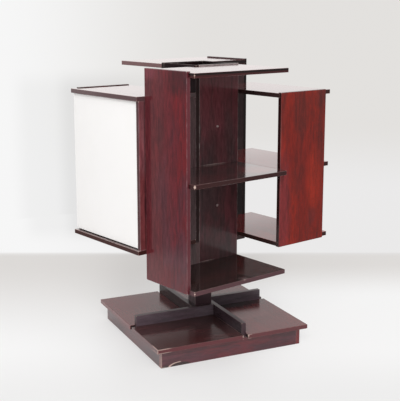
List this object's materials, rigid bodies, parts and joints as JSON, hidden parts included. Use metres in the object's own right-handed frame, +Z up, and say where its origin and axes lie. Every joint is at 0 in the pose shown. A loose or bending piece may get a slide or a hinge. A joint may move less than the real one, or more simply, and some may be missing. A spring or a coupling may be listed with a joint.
{
  "type": "revolving bookcase",
  "caption": "Revolving bookcase: high and low rosewood bays set in a pinwheel round a square core, a white cupboard door in a low bay, all turning on a post above a low square base.",
  "frame": {"origin": "on the tower's turning axis, at floor level under the plinth", "axes": "+Z up along the turning axis; +X and +Y along the sides of the tower's square core; the high open bay with its end panel at -X faces -Y, and the cupboard door faces -X; the base is turned by -14.4 degrees about +Z"},
  "size_m": [0.8516, 0.8516, 1.204],
  "materials": {
    "rosewood": "satin lacquered purple-brown rosewood veneer, upright grain",
    "rosewood_red": "satin lacquered red-brown rosewood veneer, upright grain",
    "rosewood_dark": "satin lacquered dark brown rosewood veneer",
    "plain_wood": "unfinished board, out of sight",
    "white_laminate": "white laminate, low gloss",
    "steel": "plain turned steel",
    "nickel": "nickel plated",
    "nylon": "natural nylon"
  },
  "bodies": {
    "base": {"plinth_rail_front": "rosewood_dark", "plinth_rail_right": "rosewood_dark", "plinth_rail_back": "rosewood_dark", "plinth_rail_left": "rosewood_dark", "base_top_board_front": "rosewood", "base_top_board_right": "rosewood", "base_top_board_back": "rosewood", "base_top_board_left": "rosewood", "base_rib_front": "rosewood_dark", "base_rib_right": "rosewood_dark", "base_rib_back": "rosewood_dark", "base_rib_left": "rosewood_dark", "base_bearer_front": "plain_wood", "base_bearer_back": "plain_wood", "base_centre_board": "plain_wood", "post": "rosewood_dark", "spindle": "steel", "spindle_nut": "steel", "bearing_plate": "steel"},
    "tower": {"thrust_washer": "nylon", "core_bottom_board": "plain_wood", "bearing_board_lower": "plain_wood", "bearing_board_upper": "plain_wood", "spindle_bush_lower": "nylon", "spindle_bush_upper": "nylon", "core_bolt_front_lower": "nickel", "core_bolt_front_upper": "nickel", "core_bolt_back_lower": "nickel", "core_bolt_back_upper": "nickel", "core_cap": "rosewood_dark", "core_panel_1": "rosewood_dark", "core_panel_2": "rosewood_dark", "core_panel_3": "rosewood_dark", "core_panel_4": "rosewood_dark", "bay1_top_board": "rosewood_dark", "bay1_middle_shelf": "rosewood_dark", "bay1_bottom_shelf": "rosewood_dark", "bay1_end_panel": "rosewood", "bay2_top_board": "rosewood_dark", "bay2_middle_shelf": "rosewood_dark", "bay2_bottom_shelf": "rosewood_dark", "bay2_end_panel": "rosewood_red", "bay3_top_board": "rosewood_dark", "bay3_middle_shelf": "rosewood_dark", "bay3_bottom_shelf": "rosewood_dark", "bay3_end_panel": "rosewood", "bay4_top_board": "rosewood_dark", "bay4_middle_shelf": "rosewood_dark", "bay4_bottom_shelf": "rosewood_dark", "bay4_end_panel": "rosewood_red", "bay4_side_panel": "rosewood_red", "bay4_back_panel": "rosewood_dark", "door_bush_top": "nylon", "door_bush_bottom": "nylon", "door_catch": "nylon"},
    "door": {"door_panel": "rosewood_dark", "door_face": "white_laminate", "door_pivot_top": "steel", "door_pivot_bottom": "steel", "door_strike_plate": "steel"}
  },
  "joints": [
    {"name": "tower_spin", "type": "hinge", "parent": "base", "child": "tower", "pos_m": [0, 0, 0.345], "axis": [0, 0, 1], "continuous": true},
    {"name": "door_swing", "type": "hinge", "parent": "tower", "child": "door", "pos_m": [-0.395, 0.36, 0.772], "axis": [0, 0, -1], "range_deg": [0, 105]}
  ]
}
